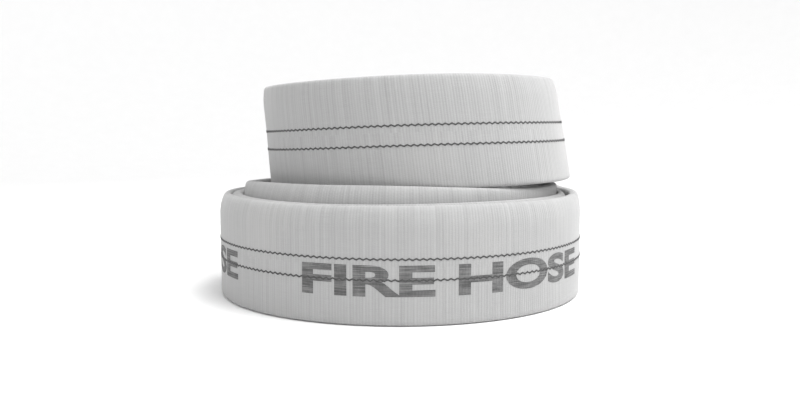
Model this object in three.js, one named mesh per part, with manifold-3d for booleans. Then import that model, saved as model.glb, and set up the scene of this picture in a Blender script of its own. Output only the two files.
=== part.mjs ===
// A rolled double-jacket fire hose with a coupling at each end.
// The flat hose stands on edge. It winds outward through a lower coil, climbs at the back
// and winds inward through an upper coil, and both couplings lie in the open core.
// Millimetres, +Z up. The roll stands on Z = 0 with the origin under its middle.

import * as THREE from "three";
import { mergeVertices } from "three/addons/utils/BufferGeometryUtils.js";
import Module from "manifold-3d";

const wasm = await Module();
wasm.setup();

// Flat hose
const FLAT_WIDTH = 81;
const FLAT_THICKNESS = 9;
const FOLD_HEIGHT = 5;
const FOLD_DEPTH = 2;
const ROUND_RADIUS = 27.3;

// Lower coil
const TURN_PITCH = 9.5;
const LOWER_FRONT_RADIUS = 145;
const INNER_TURNS_LIFT = 3;
const THIRD_TURN_LIFT = 7.5;

// Upper coil
const UPPER_RADIUS = 118;
const UPPER_SHIFT = 16;
const UPPER_STRETCH = 3.5;
const UPPER_MIDDLE = 131.3;
const UPPER_LEAN = 0.13;
const UPPER_TAPER = 0.045;

// Coil angles in degrees, where 270 is the front of the outermost lower turn
const FRONT = 270;
const COIL_START = -2040;
const COIL_END = 1680;
const COIL_STEP = 24;
const CLIMB_STEP = 12;
const CLIMB_START = 360;
const CLIMB_END = 552;
const RISER_START = 370;
const RISER_END = 474;
const INWARD_START = 462;
const INWARD_END = 516;

// The outer jacket is one woven tube, but its solid is cut at the coil angles below, so that
// each length has a shape that a few convex pieces can follow. A cut leaves a narrow gap.
const JACKET_LENGTHS = {
  outer_jacket_male_tail: [-Infinity, COIL_START],
  outer_jacket_lower_coil: [COIL_START, 360],
  outer_jacket_riser: [360, 528],
  outer_jacket_upper_coil: [528, COIL_END],
  outer_jacket_female_tail: [COIL_END, Infinity],
};
const CUT_GAP = 0.3;

// Round tails that run from the innermost turns to the couplings
const TAIL_BEND_RADIUS = 42;
const TAIL_BEND_ANGLE = 120;
const TAIL_DRAW_IN = 4;
const TAIL_BEND_STEPS = 8;
const TAIL_OPENING_START = 0.25;
const TAIL_STRAIGHT = 12;
const INSERTION = 30;
const BORE_OVERRUN = 2;
const MALE_AXIS_HEIGHT = 43.5;
const FEMALE_AXIS_HEIGHT = 125.5;

// Couplings, with lengths measured from the mouth of the bowl
const ROUND_SEGMENTS = 24;
const BOWL_BORE = 28.4;
const BOWL_RADIUS = 32.6;
const BOWL_DEPTH = 33.6;
const WATERWAY = 19.1;
const NECK_RADIUS = 26.8;
const NECK_END = 52;
const WIRE_GROOVE_Y = [42.4, 45.6];
const WIRE_RADIUS = 1.3;
const SWIVEL_BORE = 27.2;
const SWIVEL_RADIUS = 33.5;
const SWIVEL_START = 38;
const SWIVEL_END = 78;
const THREAD_BORE = 25.7;
const THREAD_RADIUS = 25.3;
const MALE_END = 62;
const LUG_COUNT = 3;
const LUG_HALF_WIDTH = 11;
const LUG_LENGTH = 16;
const LUG_RISE = 6.2;

// The boundaries of the three nested layers: half thickness and half width where the hose
// lies flat, radius where it is round, and whether the flat edge is a bevelled fold.
const LAYERS = {
  outer_jacket: {
    outside: {
      thickness: FLAT_THICKNESS / 2,
      width: FLAT_WIDTH / 2,
      radius: ROUND_RADIUS,
      folded: true,
    },
    inside: { thickness: 3.2, width: 38.6, radius: 25.9 },
  },
  inner_jacket: {
    outside: { thickness: 2.9, width: 38.2, radius: 25.5 },
    inside: { thickness: 1.8, width: 36.9, radius: 24.25 },
  },
  rubber_liner: {
    outside: { thickness: 1.35, width: 36.3, radius: 23.8 },
    inside: { thickness: 0.4, width: 35.2, radius: 22.7 },
  },
};

const radians = THREE.MathUtils.degToRad;
const mix = THREE.MathUtils.lerp;
const ease = THREE.MathUtils.smoothstep;

// ---- Route of the hose ----

// The lift of the lower turns above the floor: the third turn from outside stands proudest,
// and every change of height is made at the back.
function lowerLift(angle) {
  const ontoThird = ease(angle, -700, -573);
  const downToSecond = ease(angle, -340, -213);
  return mix(mix(INNER_TURNS_LIFT, THIRD_TURN_LIFT, ontoThird), 0, downToSecond);
}

// The upper coil isn't level: it sits low on the left and high at the back.
function upperSag(angle) {
  const turn = radians(angle);
  return 4 * Math.cos(turn) + 3 * Math.sin(turn) - 1.7 * Math.cos(2 * turn);
}

function coilStation(angle) {
  const turn = radians(angle);
  const rise = ease(angle, RISER_START, RISER_END);
  const upper = ease(angle, INWARD_START, INWARD_END);
  const lowerRadius = LOWER_FRONT_RADIUS + (TURN_PITCH * (angle - FRONT)) / 360;
  const upperRadius = UPPER_RADIUS - (TURN_PITCH * (angle - INWARD_END)) / 360;
  const radius = mix(lowerRadius, upperRadius, upper);
  const stretch = UPPER_STRETCH * upper;
  const lowerHeight = FLAT_WIDTH / 2 + lowerLift(angle);
  return {
    point: new THREE.Vector3(
      UPPER_SHIFT * upper + (radius + stretch) * Math.cos(turn),
      (radius - stretch) * Math.sin(turn),
      mix(lowerHeight, UPPER_MIDDLE, rise) + upperSag(angle) * upper,
    ),
    angle,
    roundness: 0,
    lean: UPPER_LEAN * upper,
    taper: UPPER_TAPER * upper,
  };
}

// The tail draws clear of the innermost turn on a tighter bend, where it opens from flat to
// round, and then runs straight along Y. sense is +1 at the female end and -1 at the male.
function tailStations(coilEnd, coilAngle, sense, axisHeight) {
  const stations = [];
  const away = radians(coilAngle);
  const centre = new THREE.Vector3(
    coilEnd.point.x - TAIL_BEND_RADIUS * Math.cos(away),
    coilEnd.point.y - TAIL_BEND_RADIUS * Math.sin(away),
    0,
  );
  for (let step = 1; step <= TAIL_BEND_STEPS; step++) {
    const share = step / TAIL_BEND_STEPS;
    const turn = radians(coilAngle + sense * TAIL_BEND_ANGLE * share);
    const height = mix(coilEnd.point.z, axisHeight, ease(share, 0, 1));
    const radius = TAIL_BEND_RADIUS - TAIL_DRAW_IN * ease(share, 0, TAIL_OPENING_START);
    stations.push({
      angle: sense * Infinity,
      point: new THREE.Vector3(
        centre.x + radius * Math.cos(turn),
        centre.y + radius * Math.sin(turn),
        height,
      ),
      roundness: ease(share, TAIL_OPENING_START, 1),
      lean: coilEnd.lean * (1 - share),
      taper: coilEnd.taper * (1 - share),
    });
  }
  const bendEnd = stations[stations.length - 1].point;
  for (const reach of [TAIL_STRAIGHT, TAIL_STRAIGHT + INSERTION]) {
    stations.push({
      angle: sense * Infinity,
      point: new THREE.Vector3(bendEnd.x, bendEnd.y + sense * reach, axisHeight),
      roundness: 1,
      lean: 0,
      taper: 0,
    });
  }
  return stations;
}

function hoseRoute() {
  const coil = [];
  let angle = COIL_START;
  while (angle <= COIL_END) {
    coil.push(coilStation(angle));
    const climbing = angle >= CLIMB_START && angle < CLIMB_END;
    angle += climbing ? CLIMB_STEP : COIL_STEP;
  }
  const maleTail = tailStations(coil[0], COIL_START, -1, MALE_AXIS_HEIGHT);
  const femaleTail = tailStations(coil[coil.length - 1], COIL_END, 1, FEMALE_AXIS_HEIGHT);
  return [...maleTail.reverse(), ...coil, ...femaleTail];
}

// Each station gets the direction across the thickness, outward from the coil, and the
// share by which its upright section is taller than one cut square to the climbing hose.
function addDirections(stations) {
  stations.forEach((station, i) => {
    const before = stations[Math.max(i - 1, 0)].point;
    const after = stations[Math.min(i + 1, stations.length - 1)].point;
    const along = after.clone().sub(before).normalize();
    station.side = new THREE.Vector3(along.y, -along.x, 0).normalize();
    station.upright = 1 / Math.hypot(along.x, along.y);
  });
  return stations;
}

const route = addDirections(hoseRoute());
const maleBowlMouth = route[1].point;
const femaleBowlMouth = route[route.length - 2].point;

// The same stations with both ends moved along the hose: outward, or inward if negative.
function withEndsMoved(stations, startReach, endReach) {
  const moved = stations.map((station) => ({ ...station, point: station.point.clone() }));
  const last = stations.length - 1;
  const startWay = stations[0].point.clone().sub(stations[1].point).normalize();
  const endWay = stations[last].point.clone().sub(stations[last - 1].point).normalize();
  moved[0].point.addScaledVector(startWay, startReach);
  moved[last].point.addScaledVector(endWay, endReach);
  return moved;
}

// ---- Nested layers of the hose ----

const SECTION_CORNERS = 8;
const CORNER_ANGLE = 360 / SECTION_CORNERS;

const cornerTurn = (corner) => radians((corner + 0.5) * CORNER_ANGLE);

// The place of one of eight section corners, across the thickness and across the width.
function sectionCorner(boundary, corner, station) {
  const turn = cornerTurn(corner);
  const besideFold = corner % 4 === 0 || corner % 4 === 3;
  const depth = boundary.folded && !besideFold ? FOLD_DEPTH : 0;
  const height = boundary.folded && besideFold ? FOLD_HEIGHT : 0;
  const flatAcross = Math.sign(Math.cos(turn)) * (boundary.thickness - depth);
  const flatUp = Math.sign(Math.sin(turn)) * (boundary.width - height);
  return {
    across: mix(flatAcross, boundary.radius * Math.cos(turn), station.roundness),
    up: mix(flatUp, boundary.radius * Math.sin(turn), station.roundness) * station.upright,
  };
}

// A straight octagonal bar is extruded with one step between stations, and each of its
// vertices is then carried to its corner of the section at its own station.
function sweptSolid(boundary, stations) {
  const corners = [...Array(SECTION_CORNERS).keys()];
  const outline = corners.map(
    (corner) => new THREE.Vector2(Math.cos(cornerTurn(corner)), Math.sin(cornerTurn(corner))),
  );
  const steps = stations.length - 1;
  const geometry = new THREE.ExtrudeGeometry(new THREE.Shape(outline), {
    depth: steps,
    steps,
    bevelEnabled: false,
  });
  const position = geometry.getAttribute("position");
  for (let i = 0; i < position.count; i++) {
    const station = stations[Math.round(position.getZ(i))];
    const turn = Math.atan2(position.getY(i), position.getX(i));
    const degrees = THREE.MathUtils.euclideanModulo(THREE.MathUtils.radToDeg(turn), 360);
    const { across, up } = sectionCorner(boundary, Math.floor(degrees / CORNER_ANGLE), station);
    const outward = across - station.taper * up;
    const place = station.point.clone().addScaledVector(station.side, outward);
    position.setXYZ(i, place.x - station.lean * up, place.y, place.z + up);
  }
  return toSolid(withoutSlivers(geometry));
}

// Section corners that share a place leave triangles with no area, which are dropped. The
// rest are turned round, because side, up and along are a left-handed set.
function withoutSlivers(geometry) {
  const merged = welded(geometry);
  const index = merged.getIndex();
  const kept = [];
  for (let i = 0; i < index.count; i += 3) {
    const corners = [index.getX(i), index.getX(i + 2), index.getX(i + 1)];
    if (new Set(corners).size === 3) {
      kept.push(...corners);
    }
  }
  merged.setIndex(kept);
  return merged;
}

// The bore runs past both ends, so that it cuts right through.
function layerGeometry(layer, stations = route, startGap = 0, endGap = 0) {
  const outside = withEndsMoved(stations, -startGap, -endGap);
  const bore = withEndsMoved(stations, BORE_OVERRUN, BORE_OVERRUN);
  return toGeometry(sweptSolid(layer.outside, outside).subtract(sweptSolid(layer.inside, bore)));
}

function jacketLength([start, end]) {
  const stations = route.filter(({ angle }) => angle >= start && angle <= end);
  const startGap = Number.isFinite(start) ? CUT_GAP / 2 : 0;
  const endGap = Number.isFinite(end) ? CUT_GAP / 2 : 0;
  return layerGeometry(LAYERS.outer_jacket, stations, startGap, endGap);
}

// ---- Joining solids ----

function welded(geometry) {
  const bare = geometry.clone();
  bare.deleteAttribute("normal");
  bare.deleteAttribute("uv");
  return mergeVertices(bare, 1e-4);
}

function toSolid(geometry) {
  const closed = welded(geometry);
  return new wasm.Manifold(
    new wasm.Mesh({
      numProp: 3,
      vertProperties: new Float32Array(closed.getAttribute("position").array),
      triVerts: new Uint32Array(closed.getIndex().array),
    }),
  );
}

function toGeometry(solid) {
  const mesh = solid.getMesh();
  const geometry = new THREE.BufferGeometry();
  const position = new THREE.BufferAttribute(new Float32Array(mesh.vertProperties), 3);
  geometry.setAttribute("position", position);
  geometry.setIndex(new THREE.BufferAttribute(new Uint32Array(mesh.triVerts), 1));
  return geometry;
}

// ---- Coupling pieces, turned about their own Y axis ----

function turned(profile) {
  const closed = [...profile, profile[0]];
  const points = closed.map(([radius, along]) => new THREE.Vector2(radius, along));
  return new THREE.LatheGeometry(points, ROUND_SEGMENTS);
}

function ring(inner, outer, start, end) {
  return turned([
    [inner, start],
    [outer, start],
    [outer, end],
    [inner, end],
  ]);
}

// A rocker lug is a low hump that stands on a cylinder of the given radius.
function lugGeometry(radius, start) {
  const foot = radius - 2.5;
  const top = radius + LUG_RISE;
  const hump = new THREE.Shape();
  hump.moveTo(-LUG_HALF_WIDTH, foot);
  hump.lineTo(LUG_HALF_WIDTH, foot);
  hump.lineTo(LUG_HALF_WIDTH * 0.6, top - 1.5);
  hump.lineTo(LUG_HALF_WIDTH * 0.25, top);
  hump.lineTo(-LUG_HALF_WIDTH * 0.25, top);
  hump.lineTo(-LUG_HALF_WIDTH * 0.6, top - 1.5);
  const geometry = new THREE.ExtrudeGeometry(hump, {
    depth: LUG_LENGTH,
    bevelEnabled: false,
  });
  geometry.rotateX(-Math.PI / 2);
  geometry.translate(0, start, 0);
  return geometry;
}

function withLugs(body, radius, start) {
  let solid = toSolid(body);
  for (let k = 0; k < LUG_COUNT; k++) {
    const lug = lugGeometry(radius, start).rotateY(radians((360 / LUG_COUNT) * k));
    solid = solid.add(toSolid(lug));
  }
  return toGeometry(solid);
}

function femaleTailpiece() {
  const grooveFloor = NECK_RADIUS - 1.6;
  return turned([
    [BOWL_BORE, 0],
    [BOWL_RADIUS - 1, 0],
    [BOWL_RADIUS, 2],
    [BOWL_RADIUS, 35],
    [BOWL_RADIUS - 1.6, 37.2],
    [NECK_RADIUS, 37.2],
    [NECK_RADIUS, WIRE_GROOVE_Y[0]],
    [grooveFloor, WIRE_GROOVE_Y[0]],
    [grooveFloor, WIRE_GROOVE_Y[1]],
    [NECK_RADIUS, WIRE_GROOVE_Y[1]],
    [NECK_RADIUS, NECK_END],
    [WATERWAY, NECK_END],
    [WATERWAY, BOWL_DEPTH],
    [BOWL_BORE, BOWL_DEPTH],
  ]);
}

function femaleSwivel() {
  const grooveCeiling = SWIVEL_BORE + 1.4;
  const threadStart = NECK_END + 5;
  const body = turned([
    [SWIVEL_BORE, SWIVEL_START],
    [SWIVEL_RADIUS, SWIVEL_START],
    [SWIVEL_RADIUS, SWIVEL_END - 1.5],
    [SWIVEL_RADIUS - 1.5, SWIVEL_END],
    [THREAD_BORE + 1.7, SWIVEL_END],
    [THREAD_BORE, SWIVEL_END - 1.7],
    [THREAD_BORE, threadStart],
    [SWIVEL_BORE, threadStart],
    [SWIVEL_BORE, WIRE_GROOVE_Y[1]],
    [grooveCeiling, WIRE_GROOVE_Y[1]],
    [grooveCeiling, WIRE_GROOVE_Y[0]],
    [SWIVEL_BORE, WIRE_GROOVE_Y[0]],
  ]);
  return withLugs(body, SWIVEL_RADIUS, 52);
}

function maleBody() {
  const body = turned([
    [BOWL_BORE, 0],
    [BOWL_RADIUS - 1, 0],
    [BOWL_RADIUS, 2],
    [BOWL_RADIUS, 36],
    [THREAD_RADIUS + 1.5, 40],
    [THREAD_RADIUS - 1.5, 41.5],
    [THREAD_RADIUS, 43.5],
    [THREAD_RADIUS, MALE_END - 1.5],
    [THREAD_RADIUS - 1.5, MALE_END],
    [WATERWAY, MALE_END],
    [WATERWAY, BOWL_DEPTH],
    [BOWL_BORE, BOWL_DEPTH],
  ]);
  return withLugs(body, BOWL_RADIUS, 19);
}

function lockWire() {
  const middle = (WIRE_GROOVE_Y[0] + WIRE_GROOVE_Y[1]) / 2;
  const geometry = new THREE.TorusGeometry(26.9, WIRE_RADIUS, 6, ROUND_SEGMENTS);
  geometry.rotateX(Math.PI / 2);
  geometry.translate(0, middle, 0);
  return geometry;
}

const tailGasket = () => ring(20.5, BOWL_BORE - 0.4, INSERTION + 0.3, BOWL_DEPTH - 0.3);
const expansionRing = () => ring(WATERWAY, 20.6, 2, INSERTION - 0.5);
const swivelGasket = () => ring(20, 26.6, NECK_END + 0.4, NECK_END + 4.4);

// ---- Assembly ----

const WOVEN_WHITE = { color: 0xe4e4e1, roughness: 0.85, metalness: 0 };
const WOVEN_CREAM = { color: 0xd8d2c0, roughness: 0.9, metalness: 0 };
const BLACK_RUBBER = { color: 0x1c1c1e, roughness: 0.6, metalness: 0 };
const GASKET_RUBBER = { color: 0x2a2a2c, roughness: 0.55, metalness: 0 };
const ALUMINIUM = { color: 0xb9bcc0, roughness: 0.35, metalness: 1 };
const BRASS = { color: 0xb58f45, roughness: 0.35, metalness: 1 };
const STEEL = { color: 0x9fa2a6, roughness: 0.3, metalness: 1 };

function piece(name, geometry, look) {
  const mesh = new THREE.Mesh(geometry, new THREE.MeshStandardMaterial(look));
  mesh.name = name;
  return mesh;
}

const femaleCoupling = new THREE.Group();
femaleCoupling.position.copy(femaleBowlMouth);
femaleCoupling.add(
  piece("female_tailpiece", femaleTailpiece(), ALUMINIUM),
  piece("female_tail_gasket", tailGasket(), GASKET_RUBBER),
  piece("female_expansion_ring", expansionRing(), BRASS),
  piece("female_swivel", femaleSwivel(), ALUMINIUM),
  piece("swivel_lock_wire", lockWire(), STEEL),
  piece("swivel_gasket", swivelGasket(), GASKET_RUBBER),
);

const maleCoupling = new THREE.Group();
maleCoupling.position.copy(maleBowlMouth);
maleCoupling.rotation.z = Math.PI;
maleCoupling.add(
  piece("male_body", maleBody(), ALUMINIUM),
  piece("male_tail_gasket", tailGasket(), GASKET_RUBBER),
  piece("male_expansion_ring", expansionRing(), BRASS),
);

const hose = new THREE.Group();
for (const [name, span] of Object.entries(JACKET_LENGTHS)) {
  hose.add(piece(name, jacketLength(span), WOVEN_WHITE));
}
hose.add(
  piece("inner_jacket", layerGeometry(LAYERS.inner_jacket), WOVEN_CREAM),
  piece("rubber_liner", layerGeometry(LAYERS.rubber_liner), BLACK_RUBBER),
);

// The origin is on the floor under the middle of the whole roll.
const roll = new THREE.Group();
roll.add(hose, femaleCoupling, maleCoupling);
const extent = new THREE.Box3().setFromObject(roll, true);
const middle = extent.getCenter(new THREE.Vector3());
roll.position.set(-middle.x, -middle.y, -extent.min.z);

const rolledFireHose = new THREE.Group();
rolledFireHose.add(roll);

export default rolledFireHose;
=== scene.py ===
# %% [markdown]
# # A rolled fire hose
# A double-jacket attack hose is two woven polyester tubes over a rubber liner. Empty, it lies
# flat like a ribbon. Here the ribbon stands on edge and winds through a lower coil and an
# upper coil, with its two couplings lying in the open core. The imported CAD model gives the
# sizes and places. Everything soft or finely turned is made again here around it.

# %% Load the frame
import math

import bmesh
import bpy
import numpy as np
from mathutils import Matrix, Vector


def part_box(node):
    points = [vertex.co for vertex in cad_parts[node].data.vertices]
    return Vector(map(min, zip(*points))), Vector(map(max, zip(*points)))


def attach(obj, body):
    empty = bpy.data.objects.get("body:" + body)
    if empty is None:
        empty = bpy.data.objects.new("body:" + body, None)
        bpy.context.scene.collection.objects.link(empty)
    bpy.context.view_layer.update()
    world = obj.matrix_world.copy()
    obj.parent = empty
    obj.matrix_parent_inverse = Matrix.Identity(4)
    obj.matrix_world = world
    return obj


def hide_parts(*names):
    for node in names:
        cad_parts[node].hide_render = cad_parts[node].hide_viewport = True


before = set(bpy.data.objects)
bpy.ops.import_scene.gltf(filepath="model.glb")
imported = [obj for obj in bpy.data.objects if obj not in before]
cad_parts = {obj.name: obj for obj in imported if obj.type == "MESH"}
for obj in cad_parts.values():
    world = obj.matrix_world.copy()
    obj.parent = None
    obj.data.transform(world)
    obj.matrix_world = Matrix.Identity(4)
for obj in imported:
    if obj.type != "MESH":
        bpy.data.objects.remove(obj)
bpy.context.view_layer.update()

MM = 0.001

# %% [markdown]
# ## Camera
# The view is close and low, a little above the middle of the upper coil and tipped down by
# a few degrees. A short lens this close makes the near wall of the lower coil loom and the
# coils' curves open, which an ordinary long product lens would flatten.

# %% Camera
CAMERA_PLACE = Vector((-1.9, -665.2, 130.5)) * MM
CAMERA_TIP = math.radians(5.03)
CAMERA_LENS = 35.15

camera_data = bpy.data.cameras.new("camera")
camera_data.lens = CAMERA_LENS
camera_data.sensor_width = 36
camera_data.clip_start = 0.01
camera = bpy.data.objects.new("camera", camera_data)
camera.location = CAMERA_PLACE
camera.rotation_euler = (math.pi / 2 - CAMERA_TIP, 0, 0)
bpy.context.scene.collection.objects.link(camera)
bpy.context.scene.camera = camera
print("camera stands", round(CAMERA_PLACE.length, 3), "m from the origin")

# %% [markdown]
# ## The route of the hose
# The route is the same one that the CAD solids follow: a spiral that opens outward at floor
# level, a climb at the back, and a spiral that closes inward on top. Written as a formula of
# one coil angle it needs no drawn curve, and every layer, yarn and printed mark can ask it
# where it lies. numpy works out all stations at once.

# %% Sizes of the flat hose and the two coils
FLAT_WIDTH = 81 * MM
FLAT_THICKNESS = 9 * MM
ROUND_RADIUS = 27.3 * MM
TURN_PITCH = 9.5 * MM
LOWER_FRONT_RADIUS = 145 * MM
INNER_TURNS_LIFT = 3 * MM
THIRD_TURN_LIFT = 7.5 * MM
UPPER_RADIUS = 118 * MM
UPPER_SHIFT = 16 * MM
UPPER_STRETCH = 3.5 * MM
UPPER_MIDDLE = 131.3 * MM
UPPER_LEAN = 0.13
UPPER_TAPER = 0.045
COIL_AXIS = Vector((-3.80, -2.52, 0.01)) * MM

FRONT = 270
COIL_START = -2040
COIL_END = 1680
RISER = (370, 474)
INWARD = (462, 516)
print("flat hose", FLAT_WIDTH, "m wide and", FLAT_THICKNESS, "m thick")


def ease(value, low, high):
    """0 below low, 1 above high, and a smooth step between them."""
    share = np.clip((value - low) / (high - low), 0, 1)
    return share * share * (3 - 2 * share)


def mix(first, second, share):
    return first + (second - first) * share


def coil_stations(angle):
    """Places along the coils: columns x, y, z, roundness, lean and taper, in coil axes."""
    turn = np.radians(angle)
    rise = ease(angle, *RISER)
    upper = ease(angle, *INWARD)
    lower_radius = LOWER_FRONT_RADIUS + TURN_PITCH * (angle - FRONT) / 360
    upper_radius = UPPER_RADIUS - TURN_PITCH * (angle - INWARD[1]) / 360
    radius = mix(lower_radius, upper_radius, upper)
    lift = mix(INNER_TURNS_LIFT, THIRD_TURN_LIFT, ease(angle, -700, -573))
    lift = mix(lift, 0, ease(angle, -340, -213))
    sag = (4 * np.cos(turn) + 3 * np.sin(turn) - 1.7 * np.cos(2 * turn)) * MM
    return np.stack([
        UPPER_SHIFT * upper + (radius + UPPER_STRETCH * upper) * np.cos(turn),
        (radius - UPPER_STRETCH * upper) * np.sin(turn),
        mix(FLAT_WIDTH / 2 + lift, UPPER_MIDDLE, rise) + sag * upper,
        np.zeros_like(angle),
        UPPER_LEAN * upper,
        UPPER_TAPER * upper,
    ], axis=1)


# %% [markdown]
# ### The round tails
# Near a coupling the flat hose has to turn across the core and open to a round tube. Here it
# does both along one bend. The bend is tighter than a filled hose would take, because the
# core leaves no more room. Its height eases over, so that no kink shows where it begins.

# %% The round tails
TAIL_BEND_RADIUS = 42 * MM
TAIL_BEND_ANGLE = 120
TAIL_DRAW_IN = 4 * MM
TAIL_OPENING_START = 0.25
TAIL_STRAIGHT = 12 * MM
INSERTION = 30 * MM


def middle_of(node):
    low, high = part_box(node)
    return (low + high) / 2


male_axis = middle_of("male_tail_gasket")
female_axis = middle_of("female_tail_gasket")
print("coupling axes at heights", round(male_axis.z, 4), round(female_axis.z, 4))


def tail_stations(coil_end, coil_angle, sense, axis_height, steps=32):
    """From the innermost turn round a tight bend, opening to round, then straight along Y."""
    share = np.arange(1, steps + 1) / steps
    away = math.radians(coil_angle)
    turn = np.radians(coil_angle + sense * TAIL_BEND_ANGLE * share)
    radius = TAIL_BEND_RADIUS - TAIL_DRAW_IN * ease(share, 0, TAIL_OPENING_START)
    bend = np.stack([
        coil_end[0] + radius * np.cos(turn) - TAIL_BEND_RADIUS * math.cos(away),
        coil_end[1] + radius * np.sin(turn) - TAIL_BEND_RADIUS * math.sin(away),
        mix(coil_end[2], axis_height, ease(share, 0, 1)),
        ease(share, TAIL_OPENING_START, 1),
        coil_end[4] * (1 - share),
        coil_end[5] * (1 - share),
    ], axis=1)
    reach = np.linspace(0, TAIL_STRAIGHT + INSERTION, 12)[1:]
    straight = np.repeat(bend[-1:], len(reach), axis=0)
    straight[:, 1] += sense * reach
    return np.concatenate([bend, straight])


# %% Join the stations and measure along them
coil_angles = np.arange(COIL_START, COIL_END + 1, 2.0)
coil = coil_stations(coil_angles)
male_tail = tail_stations(coil[0], COIL_START, -1, male_axis.z)[::-1]
female_tail = tail_stations(coil[-1], COIL_END, 1, female_axis.z)
stations = np.concatenate([male_tail, coil, female_tail])
stations[:, :3] += np.array(COIL_AXIS)

steps_between = np.linalg.norm(np.diff(stations[:, :3], axis=0), axis=1)
reach_along = np.concatenate([[0], np.cumsum(steps_between)])
hose_length = float(reach_along[-1])
reach_of_coil = reach_along[len(male_tail):len(male_tail) + len(coil)]
print("hose length", round(hose_length, 3), "m in", len(stations), "stations")

heading = np.gradient(stations[:, :3], reach_along, axis=0)
heading /= np.linalg.norm(heading, axis=1, keepdims=True)
level = np.hypot(heading[:, 0], heading[:, 1])
side = np.stack([heading[:, 1], -heading[:, 0], np.zeros(len(heading))], axis=1)
side /= level[:, None]
upright = 1 / level


def reach_at(angle):
    """How far along the hose a coil angle lies."""
    return float(np.interp(angle, coil_angles, reach_of_coil))


# %% [markdown]
# ## The section of the hose
# Flat, the hose's section is two straight walls joined by two puffy folds. At a coupling the
# same woven tube is a circle of the same girth. Both shapes are described by how far round
# the tube a point lies, so a yarn keeps its place in the cloth while the section opens from
# one into the other.
#
# Packed turns press each other square, but a wall that nothing presses from outside rounds
# over at its top. That soft shoulder shows on the outermost turn and on the raised third
# turn. Two slow waves keep the folds and walls from looking machined.

# %% Section of the hose
FOLD_PUFF = 0.24 * MM
FOLD_SQUARENESS = 0.6
FOLD_SLACK = 0.7 * MM
THIRD_TURN_PUFF = 4.0 * MM
SHOULDER_HEIGHT = 15 * MM
SHOULDER_DEPTH = 4.2 * MM
WALL_WOBBLE = 0.35 * MM
# Waves per metre along the hose, in radians, and up the wall.
SLACK_WAVES = (13.0, 29.0)
HOLLOW_WAVES_ALONG = (17.0, 41.0)
HOLLOW_WAVES_UP = (30.0, 55.0)


def fold_curve(bend, half_thick):
    """A fold fuller than a half circle, because packed turns press each other square."""
    across = np.sign(np.cos(bend)) * np.abs(np.cos(bend)) ** FOLD_SQUARENESS
    up = np.abs(np.sin(bend)) ** FOLD_SQUARENESS
    return across * (half_thick + FOLD_PUFF * up), up * half_thick


def section(around, roundness, inset):
    """(across, up) of points at shares around the tube, for a layer inset from the outside."""
    half_thick = FLAT_THICKNESS / 2 - inset
    half_wide = FLAT_WIDTH / 2 - inset * 1.25
    wall = 2 * (half_wide - half_thick)
    girth = 2 * wall + 2 * math.pi * half_thick
    place = (around % 1.0) * girth
    starts = np.cumsum([wall / 2, math.pi * half_thick, wall, math.pi * half_thick])
    across = np.empty_like(place)
    up = np.empty_like(place)
    fold = wall / 2
    first = place < starts[0]
    across[first], up[first] = half_thick, place[first]
    top = (place >= starts[0]) & (place < starts[1])
    bend = (place[top] - starts[0]) / half_thick
    across[top], rise = fold_curve(bend, half_thick)
    up[top] = fold + rise
    back = (place >= starts[1]) & (place < starts[2])
    across[back], up[back] = -half_thick, fold - (place[back] - starts[1])
    bottom = (place >= starts[2]) & (place < starts[3])
    bend = (place[bottom] - starts[2]) / half_thick
    across[bottom], rise = fold_curve(math.pi - bend, half_thick)
    up[bottom] = -fold - rise
    last = place >= starts[3]
    across[last], up[last] = half_thick, -fold + (place[last] - starts[3])
    turn = (around % 1.0) * 2 * math.pi
    radius = ROUND_RADIUS - inset
    return (
        mix(across, radius * np.cos(turn), roundness),
        mix(up, radius * np.sin(turn), roundness),
    )


# %% The surface of the hose
def between(reach, start, end):
    """1 between two stretches of coil angle, and 0 before and after them."""
    rise = ease(reach, reach_at(start[0]), reach_at(start[1]))
    return rise - ease(reach, reach_at(end[0]), reach_at(end[1]))


def hose_surface(reach, around, inset=0.0):
    """Points on the hose, from arrays of the distance along it and the share around it."""
    at = [np.interp(reach, reach_along, stations[:, k]) for k in range(6)]
    outward = [np.interp(reach, reach_along, side[:, k]) for k in range(3)]
    taller = np.interp(reach, reach_along, upright)
    across, up = section(around, at[3], inset)
    up = up * taller
    across = across - at[5] * up
    # The upper fold rides a little high and low, as cloth does, most of all on the third turn.
    slow, quick = SLACK_WAVES
    slack = FOLD_SLACK * (np.sin(reach * slow) + 0.6 * np.sin(reach * quick + 1.0)) / 1.6
    third = between(reach, (-555, -495), (-465, -385))
    slack = slack + THIRD_TURN_PUFF * third
    # Where no turn presses from outside, the top of the outward wall rounds over.
    lower = between(reach, (-130, -90), (300, 420))
    upper = between(reach, (420, 528), (850, 890))
    above = np.clip(up / SHOULDER_HEIGHT - FLAT_WIDTH / 2 / SHOULDER_HEIGHT + 1, 0, 1.1)
    outward_side = np.clip(across / FLAT_THICKNESS + 0.5, 0, 1)
    free = 1.35 * third + lower + 0.6 * upper
    across = across - SHOULDER_DEPTH * free * above ** 2 * outward_side * (1 - at[3])
    slack = slack * np.clip(up / (FLAT_WIDTH / 2), 0, 1) ** 2 * (1 - at[3])
    # The walls are never quite flat: shallow hollows wander along the hose.
    long, short = HOLLOW_WAVES_ALONG
    climb, fall = HOLLOW_WAVES_UP
    hollow = np.sin(reach * long + up * climb) * np.sin(reach * short - up * fall + 2.0)
    across = across - WALL_WOBBLE * hollow * (1 - at[3]) * np.cos(up / FLAT_WIDTH * math.pi) ** 2
    return np.stack([
        at[0] + outward[0] * across - at[4] * up,
        at[1] + outward[1] * across,
        at[2] + up + slack,
    ], axis=-1)


sample = hose_surface(np.full(4, reach_at(FRONT)), np.arange(4) / 4)
print("front section points", np.round(sample / MM, 1).tolist())


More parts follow.
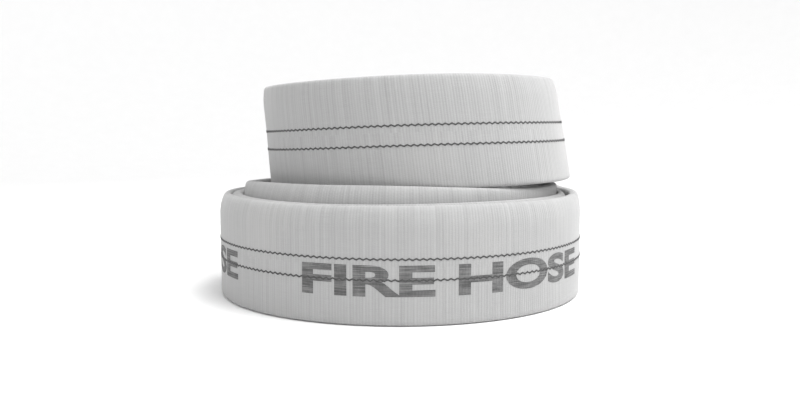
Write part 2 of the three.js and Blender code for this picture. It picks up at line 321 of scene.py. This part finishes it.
# %% Where the points lie around the hose
def shares_around(fold_steps, wall_steps):
    """Shares around the tube, close together on the folds and wide apart on the flat walls."""
    half_thick = FLAT_THICKNESS / 2
    wall = FLAT_WIDTH - FLAT_THICKNESS
    fold = math.pi * half_thick
    lengths = np.concatenate([
        np.full(wall_steps // 2, wall / wall_steps),
        np.full(fold_steps, fold / fold_steps),
        np.full(wall_steps, wall / wall_steps),
        np.full(fold_steps, fold / fold_steps),
        np.full(wall_steps // 2, wall / wall_steps),
    ])
    ends = np.cumsum(lengths)
    return np.concatenate([[0], ends[:-1]]) / ends[-1]


print("points around the jacket", len(shares_around(12, 14)))


# %% [markdown]
# ## Helpers for making pieces
# Each piece is a mesh given as arrays of points and faces. A helper makes the object, gives
# it smooth faces, a finish, a body to ride on and the CAD nodes that it stands for.

# %% Helpers for making pieces
def make_piece(name, points, faces, finish, body, stands_for=(), uv=None):
    mesh = bpy.data.meshes.new(name)
    mesh.from_pydata([tuple(p) for p in points], [], [tuple(f) for f in faces])
    if uv is not None:
        layer = mesh.uv_layers.new(name="weave")
        layer.data.foreach_set("uv", np.asarray(uv, np.float32).reshape(-1))
    mesh.polygons.foreach_set("use_smooth", [True] * len(mesh.polygons))
    mesh.materials.append(finish)
    mesh.validate()
    piece = bpy.data.objects.new(name, mesh)
    bpy.context.scene.collection.objects.link(piece)
    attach(piece, body)
    if stands_for:
        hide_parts(*stands_for)
    return piece


def grid_faces(rows, columns, closed_columns=False):
    """Quads of a grid of points stored row by row."""
    wide = columns if closed_columns else columns - 1
    row, column = np.meshgrid(np.arange(rows - 1), np.arange(wide), indexing="ij")
    after = (column + 1) % columns
    return np.stack([
        row * columns + column,
        row * columns + after,
        (row + 1) * columns + after,
        (row + 1) * columns + column,
    ], axis=-1).reshape(-1, 4)


# %% [markdown]
# ## Finishes
# A finish is built from maths on where a point lies. The class below lets a socket be used
# in ordinary Python arithmetic, and each sign adds one Math node. Every other kind of node
# comes from one method, so a finish reads as a few lines rather than as a page of wiring.

# %% Writing shader maths as Python
class Signal:
    """One output socket, usable in arithmetic."""

    def __init__(self, finish, socket):
        self.finish = finish
        self.socket = socket

    def math(self, operation, *others):
        return self.finish.node("ShaderNodeMath", {"operation": operation}, [self, *others])

    def __add__(self, other):
        return self.math("ADD", other)

    __radd__ = __add__

    def __sub__(self, other):
        return self.math("SUBTRACT", other)

    def __rsub__(self, other):
        return self.finish.node("ShaderNodeMath", {"operation": "SUBTRACT"}, [other, self])

    def __mul__(self, other):
        return self.math("MULTIPLY", other)

    __rmul__ = __mul__

    def wave(self):
        """A sine of this signal, from 0 to 1."""
        return self.math("SINE") * 0.5 + 0.5

    def limited(self):
        return self.math("MINIMUM", 1.0).math("MAXIMUM", 0.0)


class Finish:
    """A material and short ways to add nodes to it."""

    def __init__(self, name):
        self.material = bpy.data.materials.new(name)
        self.material.use_nodes = True
        self.tree = self.material.node_tree
        self.shader = self.tree.nodes["Principled BSDF"]

    def node(self, kind, settings=None, inputs=(), output=0):
        node = self.tree.nodes.new(kind)
        for name, value in (settings or {}).items():
            setattr(node, name, value)
        pairs = inputs.items() if isinstance(inputs, dict) else enumerate(inputs)
        for key, value in pairs:
            self.feed(node.inputs[key], value)
        return Signal(self, node.outputs[output])

    def feed(self, socket, value):
        if isinstance(value, Signal):
            self.tree.links.new(value.socket, socket)
        else:
            socket.default_value = value

    def set(self, **sockets):
        for name, value in sockets.items():
            self.feed(self.shader.inputs[name.replace("_", " ")], value)

    def mixed(self, share, first, second):
        """A colour between two colours."""
        return self.node(
            "ShaderNodeMix", {"data_type": "RGBA"}, {0: share, 6: first, 7: second}, 2
        )

    def noise(self, vector, scale, detail=2.0):
        return self.node(
            "ShaderNodeTexNoise", {}, {"Vector": vector, "Scale": scale, "Detail": detail}
        )

    def bump(self, height, distance, strength=1.0):
        values = {"Height": height, "Distance": distance, "Strength": strength}
        return self.node("ShaderNodeBump", {}, values)

    def object_place(self):
        return self.node("ShaderNodeTexCoord", {}, [], "Object")

    def split(self, vector):
        return [self.node("ShaderNodeSeparateXYZ", {}, [vector], k) for k in range(3)]


def grey(level, warmth=0.0):
    return (level * (1 + warmth), level, level * (1 - warmth), 1.0)


# %% [markdown]
# ### The woven jacket
# The cloth is woven round and round: stout weft yarns cross the ribbon and show as fine
# upright ribs, and thinner warp yarns bind them. An image of cloth would blur and stretch
# on a strip seven metres long, so the ribs are sums of waves of the distance along and
# around the hose, which the mesh carries as its UV map in metres.

# %% Woven jacket finish
RIB_PITCH = 2.1 * MM
WARP_PITCH = 1.5 * MM


def weave_height(finish, along, around):
    """Ribs across the ribbon with binding yarns that step half a pitch at each rib."""
    ribs = (along * (2 * math.pi / RIB_PITCH)).wave()
    step = (along * (1 / RIB_PITCH)).math("FLOOR") * math.pi
    binding = (around * (2 * math.pi / WARP_PITCH) + step).wave()
    return ribs * 0.62 + ribs * binding * 0.38


def weave_finish(name, thread, shade, roughness):
    finish = Finish(name)
    cloth = finish.node("ShaderNodeUVMap", {"uv_map": "weave"})
    along, around, _ = finish.split(cloth)
    height = weave_height(finish, along, around)
    stretched = finish.node(
        "ShaderNodeMapping", {}, {"Vector": cloth, "Scale": (60.0, 2400.0, 1.0)}
    )
    slub = finish.noise(stretched, 1.0, 3.0)
    beaten = finish.node(
        "ShaderNodeMapping", {}, {"Vector": cloth, "Scale": (330.0, 7.0, 1.0)}
    )
    beat = finish.noise(beaten, 1.0, 2.0)
    handled = finish.noise(finish.object_place(), 14.0, 4.0)
    # Painted shade: the valleys between the ribs are coloured darker, towards the shade colour,
    # as shade in the weave. Slub and beat add random yarn tone.
    painted_valley_shade_and_yarn_tone = (1.0 - height) * 0.30 + (slub - 0.5) * 0.5 + (beat - 0.5) * 1.1 + 0.2
    cloth_colour = finish.mixed(painted_valley_shade_and_yarn_tone.limited(), thread, shade)
    soiled = ((handled - 0.52) * 2.4).limited() * 0.28
    colour = finish.mixed(soiled, cloth_colour, grey(0.5, 0.02))
    finish.set(
        Base_Color=colour,
        Roughness=(handled * 0.12 + roughness).limited(),
        Normal=finish.bump(height * (beat * 1.4 + 0.2) + slub * 0.4, 0.3 * MM, 0.45),
        Sheen_Weight=0.25,
        Sheen_Roughness=0.5,
        Specular_IOR_Level=0.25,
    )
    return finish.material


jacket_finish = weave_finish("white_polyester_weave", grey(0.41), grey(0.285), 0.80)
UNDYED, UNDYED_SHADE = (0.72, 0.68, 0.58, 1), (0.50, 0.46, 0.38, 1)
inner_finish = weave_finish("undyed_polyester_weave", UNDYED, UNDYED_SHADE, 0.85)
print("weave ribs every", round(RIB_PITCH / MM, 2), "mm")

# %% [markdown]
# ## The three layers
# The outer jacket, the inner jacket and the rubber liner are tubes inside one another. Each
# is made with a real wall, an outer and an inner skin joined at the two ends, because a cut
# hose shows its layers and because cloth has thickness.

# %% Make the layers
JACKET_LENGTHS = [
    "outer_jacket_male_tail", "outer_jacket_lower_coil", "outer_jacket_riser",
    "outer_jacket_upper_coil", "outer_jacket_female_tail",
]


def layer_tube(name, inset, wall, shares, every, finish, nodes):
    """A tube with a wall, following the whole route. Its bore has half as many points round."""
    picked = np.unique(np.append(np.arange(0, len(stations), every), len(stations) - 1))
    reach = reach_along[picked]
    rows, outer, inner = len(reach), len(shares), len(shares) // 2
    skins = []
    for around, depth in ((shares, inset), (shares[::2], inset + wall)):
        at_reach, at_around = np.meshgrid(reach, around, indexing="ij")
        skins.append(hose_surface(at_reach.ravel(), at_around.ravel(), depth))
    outside = grid_faces(rows, outer, closed_columns=True)
    bore = grid_faces(rows, inner, closed_columns=True)[:, ::-1] + rows * outer
    rims = []
    for row, reverse in ((0, True), (rows - 1, False)):
        for k in range(inner):
            rim = [row * outer + (2 * k + j) % outer for j in range(3)]
            lip = [rows * outer + row * inner + (k + j) % inner for j in (1, 0)]
            rims.append((rim + lip)[::-1] if reverse else rim + lip)
    girth = 2 * math.pi * ROUND_RADIUS
    place = np.concatenate([
        np.stack(np.meshgrid(reach, shares, indexing="ij"), axis=-1).reshape(-1, 2),
        np.stack(np.meshgrid(reach, shares[::2], indexing="ij"), axis=-1).reshape(-1, 2),
    ])
    faces = [tuple(f) for f in np.concatenate([outside, bore])] + [tuple(f) for f in rims]
    uv = []
    for face in faces:
        corners = place[list(face)]
        seam = np.ptp(corners[:, 1]) > 0.5
        corners[:, 1] += seam * (corners[:, 1] < 0.5)
        uv.append(corners * (1, girth))
    piece = make_piece(
        name, np.concatenate(skins), faces, finish, "hose", nodes, np.concatenate(uv)
    )
    print(name, len(faces), "faces")
    return piece


jacket = layer_tube(
    "woven_outer_jacket", 0.0, 1.3 * MM, shares_around(12, 14), 1,
    jacket_finish, JACKET_LENGTHS,
)

# %% [markdown]
# ### The inner jacket and the liner
# Only the cut ends show these, deep in the bowls of the couplings. The inner jacket is left
# undyed, and the liner is a thin black rubber tube that keeps the water in.

# %% Rubber finishes
def rubber_finish(name, level, roughness):
    finish = Finish(name)
    place = finish.object_place()
    cloudy = finish.noise(place, 40.0, 4.0)
    pores = finish.noise(place, 1500.0, 2.0)
    bloom = finish.mixed((cloudy - 0.35).limited(), grey(level), grey(level * 2.2))
    finish.set(
        Base_Color=bloom,
        Roughness=(cloudy * 0.2 + roughness).limited(),
        Normal=finish.bump(pores, 0.06 * MM, 0.5),
    )
    return finish.material


liner_finish = rubber_finish("black_liner_rubber", 0.018, 0.5)
gasket_finish = rubber_finish("gasket_rubber_moulded", 0.03, 0.42)

# %% Inner jacket and liner
layer_tube(
    "woven_inner_jacket", 1.6 * MM, 1.1 * MM, shares_around(6, 6), 2,
    inner_finish, ["inner_jacket"],
)
layer_tube(
    "rubber_liner_tube", 3.15 * MM, 0.95 * MM, shares_around(6, 6), 2,
    liner_finish, ["rubber_liner"],
)

# %% [markdown]
# ## Tracer yarns
# Two dark yarns are woven into the outward wall so that a crew can see the lay of the hose.
# Each one passes over and under the ribs, so it shows as a close zigzag. They are real
# threads here, a third of a millimetre proud of the cloth, and they run its whole length.

# %% Tracer yarns
TRACER_HALF_SPACING = 7.0 * MM
TRACER_MIDDLE = -2.0 * MM
TRACER_PERIOD = 4.6 * MM
TRACER_SWING = 0.55 * MM
TRACER_HALF_WIDTH = 0.72 * MM


def yarn_finish():
    finish = Finish("dark_tracer_yarn")
    twist = finish.noise(finish.object_place(), 900.0, 3.0)
    finish.set(
        Base_Color=finish.mixed(twist, grey(0.022), grey(0.09)),
        Roughness=(twist * 0.2 + 0.65).limited(),
        Normal=finish.bump(twist, 0.15 * MM, 0.6),
    )
    return finish.material


def tracer(name, height, finish):
    reach = np.arange(0.006, hose_length - 0.006, TRACER_PERIOD / 4)
    swing = TRACER_SWING * np.sin(reach * 2 * math.pi / TRACER_PERIOD)
    girth = 2 * math.pi * ROUND_RADIUS
    profile = [(-1.0, 0.25), (-0.6, -0.28), (0.6, -0.28), (1.0, 0.25)]
    rows = [
        hose_surface(reach, (height + swing + across * TRACER_HALF_WIDTH) / girth, depth * MM)
        for across, depth in profile
    ]
    points = np.stack(rows, axis=1).reshape(-1, 3)
    faces = [tuple(f) for f in grid_faces(len(reach), len(profile), closed_columns=True)]
    faces.append((3, 2, 1, 0))
    last = len(points)
    faces.append((last - 4, last - 3, last - 2, last - 1))
    return make_piece(name, points, faces, finish, "hose")


tracer_material = yarn_finish()
tracers = [
    tracer("tracer_yarn_upper", TRACER_MIDDLE + TRACER_HALF_SPACING, tracer_material),
    tracer("tracer_yarn_lower", TRACER_MIDDLE - TRACER_HALF_SPACING, tracer_material),
]
print("tracer yarn", round(hose_length, 2), "m each")

# %% [markdown]
# ## Printed words
# Makers stencil words along the jacket in ink. Ink sits on the tops of the ribs and misses
# the valleys, so it breaks up into fine strokes. The words here are plain ones. A text is
# turned into a flat mesh, cut into narrow strips, and laid on the curved wall.

# %% Printed words
PRINT_HEIGHT = 21.5 * MM
PRINT_CENTRE = -9.5 * MM
PRINT_START_ANGLE = 244
STRIP = 2.5 * MM


def ink_finish():
    finish = Finish("stencil_ink")
    cloth = finish.node("ShaderNodeUVMap", {"uv_map": "weave"})
    along, around, _ = finish.split(cloth)
    rows = finish.node(
        "ShaderNodeMapping", {}, {"Vector": cloth, "Scale": (45.0, 1700.0, 1.0)}
    )
    missed = finish.noise(rows, 1.0, 3.0)
    worn = finish.noise(finish.object_place(), 160.0, 3.0)
    cover = (missed * 2.0 + worn * 0.7 - 0.55).limited()
    height = weave_height(finish, along, around)
    finish.set(
        Base_Color=finish.mixed(cover, grey(0.30), grey(0.075)),
        Roughness=(worn * 0.2 + 0.65).limited(),
        Normal=finish.bump(height, 0.35 * MM, 0.5),
    )
    return finish.material


# %% Laying letters on the wall
def printed(name, words, start_reach, length, finish):
    """Flat letters laid on the outward wall, reading along the hose."""
    text = bpy.data.curves.new(name, "FONT")
    text.body = words
    text.offset = 0.035
    flat = bpy.data.objects.new(name + "_flat", text)
    bpy.context.scene.collection.objects.link(flat)
    shape = bmesh.new()
    evaluated = flat.evaluated_get(bpy.context.evaluated_depsgraph_get())
    shape.from_mesh(evaluated.to_mesh())
    bpy.data.objects.remove(flat)
    bpy.data.curves.remove(text)
    corners = np.array([v.co for v in shape.verts])
    low, high = corners.min(axis=0), corners.max(axis=0)
    scale = (length / (high[0] - low[0]), PRINT_HEIGHT / (high[1] - low[1]))
    for vertex in shape.verts:
        vertex.co.x = (vertex.co.x - low[0]) * scale[0]
        vertex.co.y = (vertex.co.y - low[1]) * scale[1]
    for cut in np.arange(STRIP, length, STRIP):
        everything = shape.verts[:] + shape.edges[:] + shape.faces[:]
        bmesh.ops.bisect_plane(
            shape, geom=everything, dist=1e-7, plane_co=(cut, 0, 0), plane_no=(1, 0, 0)
        )
    shape.verts.ensure_lookup_table()
    corners = np.array([v.co for v in shape.verts])
    faces = [tuple(v.index for v in face.verts) for face in shape.faces]
    shape.free()
    girth = 2 * math.pi * ROUND_RADIUS
    reach = start_reach + corners[:, 0]
    around = (PRINT_CENTRE - PRINT_HEIGHT / 2 + corners[:, 1]) / girth
    points = hose_surface(reach, around, -0.12 * MM)
    place = np.stack([reach, around * girth], axis=1)
    uv = np.concatenate([place[list(face)] for face in faces])
    return make_piece(name, points, faces, finish, "hose", [], uv)


ink = ink_finish()
prints = [
    printed("print_main", "FIRE HOSE", reach_at(PRINT_START_ANGLE), 232 * MM, ink),
    printed("print_before", "FIRE HOSE", reach_at(PRINT_START_ANGLE) - 300 * MM, 232 * MM, ink),
]
print("printed words end at", round(reach_at(PRINT_START_ANGLE) + 0.232, 3), "m")

# %% [markdown]
# ## Couplings
# A coupling half is a turned aluminium casting. Its bowl takes the hose, and a brass ring,
# rolled outward inside, grips the hose against the bowl. The other end is a swivel ring with
# a thread inside, or a plain thread outside. Rocker lugs give a spanner something to push.
# A turned piece is a profile carried round the axis. Moving the points of that grid in or
# out gives a true helical thread and lugs that flow out of the ring as a forging's do.

# %% Making a turned piece
COLUMNS = 132
THREAD_PITCH = 3.4 * MM
THREAD_DEPTH = 1.3 * MM
LUG_HALF_WIDTH = 11 * MM
LUG_RISE = 6.2 * MM

female_mouth = np.array([female_axis.x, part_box("female_tailpiece")[0].y, female_axis.z])
male_mouth = np.array([male_axis.x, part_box("male_body")[1].y, male_axis.z])
print("bowl mouths", np.round(female_mouth, 4).tolist(), np.round(male_mouth, 4).tolist())


def fine_profile(profile, spacing):
    """The closed profile with points added so that none lie further apart than spacing."""
    fine = []
    for (r0, y0), (r1, y1) in zip(profile, profile[1:] + profile[:1]):
        count = max(1, math.ceil(math.hypot(r1 - r0, y1 - y0) * MM / spacing))
        fine += [(mix(r0, r1, k / count) * MM, mix(y0, y1, k / count) * MM) for k in range(count)]
    return np.array(fine)


def lug_swell(radius, along, turn, lug_radius, start, length):
    """How far rocker lugs push the skin out."""
    from_lug = (turn - math.pi * 1.5 + math.pi / 3) % (math.pi * 2 / 3) - math.pi / 3
    away = np.abs(from_lug) * lug_radius
    hump = 1 - ease(away, LUG_HALF_WIDTH * 0.3, LUG_HALF_WIDTH)
    ends = ease(along, start, start + 2 * MM) * (1 - ease(along, start + length - 2 * MM,
                                                          start + length))
    on_skin = radius > lug_radius - 0.2 * MM
    return LUG_RISE * hump * ends * on_skin


def thread_cut(radius, along, turn, thread_radius, start, end, inside):
    """How far a helical thread moves the skin: into the metal, from the crests."""
    phase = (along / THREAD_PITCH - turn / (2 * math.pi)) % 1.0
    groove = 1 - np.abs(2 * phase - 1)
    fade = ease(along, start, start + THREAD_PITCH) * (1 - ease(along, end - THREAD_PITCH, end))
    on_thread = np.abs(radius - thread_radius) < 0.05 * MM
    return THREAD_DEPTH * groove * fade * on_thread * (1 if inside else -1)


def turned(name, profile, mouth, sense, finish, body, node, change=None, spacing=0.8 * MM):
    rows = fine_profile(profile, spacing)
    angles = np.arange(COLUMNS) * 2 * math.pi / COLUMNS
    along, turn = np.meshgrid(rows[:, 1], angles, indexing="ij")
    radius = np.repeat(rows[:, :1], COLUMNS, axis=1)
    if change is not None:
        radius = radius + change(radius, along, turn)
    points = np.stack([
        mouth[0] + radius * np.cos(turn),
        mouth[1] + sense * along,
        mouth[2] + radius * np.sin(turn),
    ], axis=-1)
    points = np.concatenate([points, points[:1]]).reshape(-1, 3)
    count = len(rows) * COLUMNS
    faces = grid_faces(len(rows) + 1, COLUMNS, closed_columns=True) % count
    if sense < 0:
        faces = faces[:, ::-1]
    return make_piece(name, points[:count], faces, finish, body, [node])


# %% [markdown]
# ### Metal finishes
# Turned aluminium, rolled brass and drawn wire differ in colour and in the lines that their
# tools leave. An image of brushed metal would need a map on every ring. Noise stretched
# round the axis gives the lathe lines straight from where each point lies.

# %% Metal finishes
def metal_finish(name, colour, tarnish, roughness, grain):
    """Turned metal: fine lathe lines round the axis, cloudy handling and a few dull patches."""
    finish = Finish(name)
    place = finish.object_place()
    lathe = finish.node("ShaderNodeMapping", {}, {"Vector": place, "Scale": (9.0, grain, 9.0)})
    lines = finish.noise(lathe, 1.0, 4.0)
    cloudy = finish.noise(place, 55.0, 5.0)
    dull = ((cloudy - 0.5) * 2.5).limited()
    finish.set(
        Base_Color=finish.mixed(dull * 0.7, colour, tarnish),
        Metallic=1.0,
        Roughness=(lines * 0.12 + dull * 0.2 + roughness).limited(),
        Normal=finish.bump(lines + cloudy * 0.3, 0.05 * MM, 0.5),
    )
    return finish.material


PALE_METAL, DULL_METAL = (0.60, 0.61, 0.63, 1), (0.42, 0.43, 0.45, 1)
BRIGHT_BRASS, BROWN_BRASS = (0.66, 0.48, 0.20, 1), (0.40, 0.29, 0.13, 1)

aluminium = metal_finish("turned_aluminium", PALE_METAL, DULL_METAL, 0.26, 3500.0)
brass = metal_finish("rolled_brass", BRIGHT_BRASS, BROWN_BRASS, 0.24, 2500.0)
steel = metal_finish("drawn_steel_wire", grey(0.50), grey(0.30), 0.22, 900.0)

print("metals", [m.name for m in (aluminium, brass, steel)])

# %% Sizes and skins of the couplings, in millimetres
BOWL_BORE, BOWL_RADIUS, BOWL_DEPTH = 28.4, 32.6, 33.6
WATERWAY, NECK_RADIUS, NECK_END = 19.1, 26.8, 52
SWIVEL_BORE, SWIVEL_RADIUS = 27.2, 33.5
THREAD_BORE, THREAD_RADIUS, MALE_END = 25.7, 25.3, 62


def bowl_grooves(radius, along, turn):
    """Three shallow turned grooves round the bowl."""
    depth = sum(np.exp(-(((along / MM) - at) / 0.8) ** 2) for at in (6, 9, 12))
    return -0.55 * MM * depth * (radius > (BOWL_RADIUS - 0.2) * MM)


def swivel_skin(radius, along, turn):
    lugs = lug_swell(radius, along, turn, SWIVEL_RADIUS * MM, 52 * MM, 16 * MM)
    thread = thread_cut(radius, along, turn, THREAD_BORE * MM, 57 * MM, 77 * MM, True)
    return lugs + thread


def male_skin(radius, along, turn):
    lugs = lug_swell(radius, along, turn, BOWL_RADIUS * MM, 19 * MM, 16 * MM)
    thread = thread_cut(radius, along, turn, THREAD_RADIUS * MM, 43.5 * MM, 61 * MM, False)
    return lugs + thread + bowl_grooves(radius, along, turn)


# %% [markdown]
# ### The two couplings
# On the female half the bowl stays with the hose and the swivel ring turns on its neck, so
# they are two pieces on two bodies. The male half is one casting, with its thread outside.

# %% Female coupling
turned("female_bowl", [
    (BOWL_BORE, 0), (BOWL_RADIUS - 1, 0), (BOWL_RADIUS, 2), (BOWL_RADIUS, 35),
    (BOWL_RADIUS - 1.6, 37.2), (NECK_RADIUS, 37.2), (NECK_RADIUS, 42.4),
    (NECK_RADIUS - 1.6, 42.4), (NECK_RADIUS - 1.6, 45.6), (NECK_RADIUS, 45.6),
    (NECK_RADIUS, NECK_END), (WATERWAY, NECK_END), (WATERWAY, BOWL_DEPTH),
    (BOWL_BORE, BOWL_DEPTH),
], female_mouth, 1, aluminium, "hose", "female_tailpiece", bowl_grooves)

turned("swivel_ring", [
    (SWIVEL_BORE, 38), (SWIVEL_RADIUS - 0.8, 38), (SWIVEL_RADIUS, 38.8),
    (SWIVEL_RADIUS, 76.5), (SWIVEL_RADIUS - 1.5, 78), (THREAD_BORE + 1.7, 78),
    (THREAD_BORE, 76.3), (THREAD_BORE, NECK_END + 5), (SWIVEL_BORE, NECK_END + 5),
    (SWIVEL_BORE, 45.6), (SWIVEL_BORE + 1.4, 45.6), (SWIVEL_BORE + 1.4, 42.4),
    (SWIVEL_BORE, 42.4),
], female_mouth, 1, aluminium, "swivel", "female_swivel", swivel_skin,
    0.6 * MM)
print("swivel ring", 2 * SWIVEL_RADIUS, "mm across without its lugs")

# %% Male coupling
turned("male_coupling", [
    (BOWL_BORE, 0), (BOWL_RADIUS - 1, 0), (BOWL_RADIUS, 2), (BOWL_RADIUS, 36),
    (THREAD_RADIUS + 1.5, 40), (THREAD_RADIUS - 1.5, 41.5), (THREAD_RADIUS, 43.5),
    (THREAD_RADIUS, MALE_END - 1.5), (THREAD_RADIUS - 1.5, MALE_END),
    (WATERWAY, MALE_END), (WATERWAY, BOWL_DEPTH), (BOWL_BORE, BOWL_DEPTH),
], male_mouth, -1, aluminium, "hose", "male_body", male_skin, 0.6 * MM)
print("male thread", 2 * THREAD_RADIUS, "mm across")

# %% [markdown]
# ### Small turned pieces
# Behind each bowl's hose end lies a flat rubber gasket. The expansion ring is soft brass with
# a little flare and a seam of shallow grooves from the rolling tool. The swivel keeps its
# place by a wire bent round in a groove shared by the ring and the neck.

# %% Gaskets, expansion rings and lock wire
def rolled_marks(radius, along, turn):
    """Ridges that the expanding tool leaves on the ring."""
    ridges = np.sin(along / MM * 2 * math.pi / 4.5) ** 8
    return 0.18 * MM * ridges * (radius < (WATERWAY + 0.2) * MM)


def rounded_ring(inner, outer, start, end, corner):
    return [
        (inner + corner, start), (outer - corner, start), (outer, start + corner),
        (outer, end - corner), (outer - corner, end), (inner + corner, end),
        (inner, end - corner), (inner, start + corner),
    ]


for half, mouth, sense in (("female", female_mouth, 1), ("male", male_mouth, -1)):
    turned(
        half + "_gasket", rounded_ring(20.5, BOWL_BORE - 0.4, 30.3, 33.3, 0.5), mouth, sense,
        gasket_finish, "hose", half + "_tail_gasket",
    )
    turned(
        half + "_brass_ring", rounded_ring(WATERWAY, 20.6, 2, 29.5, 0.35), mouth, sense,
        brass, "hose", half + "_expansion_ring", rolled_marks,
    )
turned(
    "swivel_face_gasket", rounded_ring(20, 26.6, NECK_END + 0.4, NECK_END + 4.4, 0.6),
    female_mouth, 1, gasket_finish, "swivel", "swivel_gasket",
)
wire_round = [
    (26.9 + 1.3 * math.cos(a), 44 + 1.3 * math.sin(a))
    for a in np.arange(16) * math.pi / 8 - math.pi / 2
]
turned(
    "lock_wire", wire_round, female_mouth, 1, steel, "hose", "swivel_lock_wire",
)

# %% [markdown]
# ## What is soft
# The jacket is one length of flat-woven tube. Laid out, it is a strip as wide as the empty
# hose, twice over because it has two walls. The cord test takes a flat hose's width for its
# diameter and reads packed turns as overlaps.

# %% [markdown]
# ## Floor and light
# The floor is a pale disc whose rim curves up into a backdrop, so that no horizon shows from
# any side. A bright even sky fills the shadows, and one large lamp at the upper right gives
# the coils their shape: it lights the tops and the right, and leaves the left in half tone.

# %% Floor
def floor_finish():
    finish = Finish("pale_floor")
    speck = finish.noise(finish.object_place(), 30.0, 3.0)
    finish.set(Base_Color=finish.mixed(speck, grey(0.90), grey(0.93)), Roughness=0.9)
    return finish.material


# The profile runs flat from the middle, then round a quarter circle into an upright rim.
FLAT_REACH, RIM_RADIUS, RIM_STEPS, FLOOR_COLUMNS = 1.6, 1.0, 16, 96
rim_turns = [math.pi / 2 * k / RIM_STEPS for k in range(RIM_STEPS + 1)]
floor_profile = [(0.02, 0.0)] + [
    (FLAT_REACH + RIM_RADIUS * math.sin(a), RIM_RADIUS * (1 - math.cos(a))) for a in rim_turns
]
floor_points = [
    (r * math.cos(a), r * math.sin(a), z - 0.0002)
    for r, z in floor_profile
    for a in (2 * math.pi * k / FLOOR_COLUMNS for k in range(FLOOR_COLUMNS))
]
floor_faces = [tuple(f) for f in grid_faces(len(floor_profile), FLOOR_COLUMNS, True)]
floor_faces.append(tuple(range(FLOOR_COLUMNS)))
floor_mesh = bpy.data.meshes.new("floor")
floor_mesh.from_pydata(floor_points, [], floor_faces)
floor_mesh.polygons.foreach_set("use_smooth", [True] * len(floor_mesh.polygons))
floor_mesh.materials.append(floor_finish())
floor = bpy.data.objects.new("floor", floor_mesh)
bpy.context.scene.collection.objects.link(floor)
print("floor", 2 * (FLAT_REACH + RIM_RADIUS), "m across")


# %% Lamps and sky
def lamp(name, place, size, watts):
    data = bpy.data.lights.new(name, "AREA")
    data.size = size
    data.energy = watts
    light = bpy.data.objects.new(name, data)
    light.location = place
    towards = Vector((0, 0, 0.08)) - Vector(place)
    light.rotation_euler = towards.to_track_quat("-Z", "Y").to_euler()
    bpy.context.scene.collection.objects.link(light)


lamp("key", (0.55, -0.22, 1.50), 1.2, 34)

sky = bpy.data.worlds.new("pale_sky")
sky.use_nodes = True
sky.node_tree.nodes["Background"].inputs["Color"].default_value = (1, 1, 1, 1)
sky.node_tree.nodes["Background"].inputs["Strength"].default_value = 0.78
bpy.context.scene.world = sky
bpy.context.scene.view_settings.view_transform = "Standard"
print("sky strength", sky.node_tree.nodes["Background"].inputs["Strength"].default_value)
